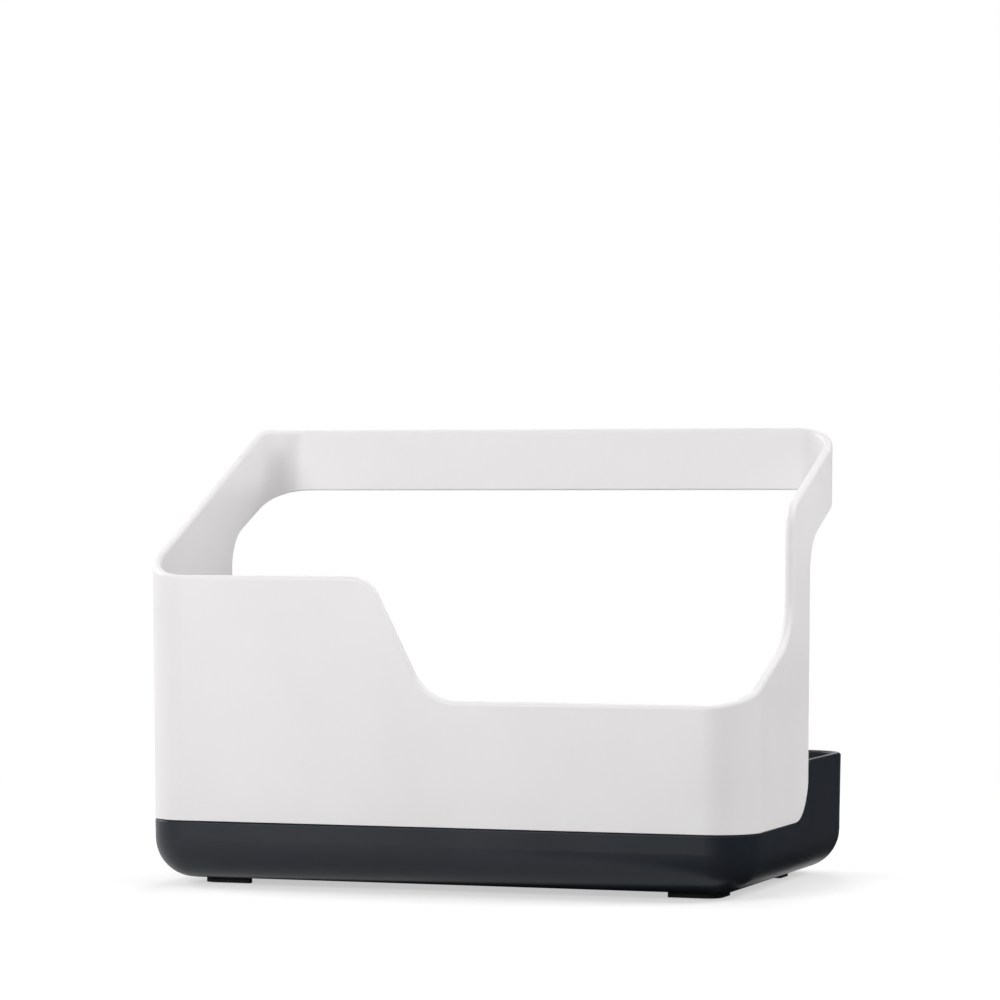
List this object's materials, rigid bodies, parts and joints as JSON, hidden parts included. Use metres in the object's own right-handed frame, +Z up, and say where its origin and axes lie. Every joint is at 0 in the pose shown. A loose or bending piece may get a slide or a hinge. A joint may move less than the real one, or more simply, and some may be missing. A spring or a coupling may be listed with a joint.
{
  "type": "kitchen sink caddy",
  "caption": "Sink caddy with a stepped thin-walled holder, side arms and a cloth rail, lifting off a rounded drip tray that rises behind it as a trough.",
  "frame": {"origin": "under the middle of the tray's footprint, on the surface that the pads stand on", "axes": "+X to the right along the front, +Y to the back towards the rail, +Z up"},
  "size_m": [0.2022, 0.1234, 0.146],
  "materials": {
    "holder_white": "satin moulded",
    "tray_slate": "satin moulded",
    "pad_rubber": "matte"
  },
  "bodies": {
    "base": {"base_tray": "tray_slate", "front_left_foot": "pad_rubber", "front_right_foot": "pad_rubber", "rear_left_foot": "pad_rubber", "rear_right_foot": "pad_rubber"},
    "holder": {"caddy_body": "holder_white"}
  },
  "joints": [
    {"name": "holder_lift", "type": "slide", "parent": "base", "child": "holder", "axis": [0, 0, 1], "range_m": [0, 0.06]}
  ]
}
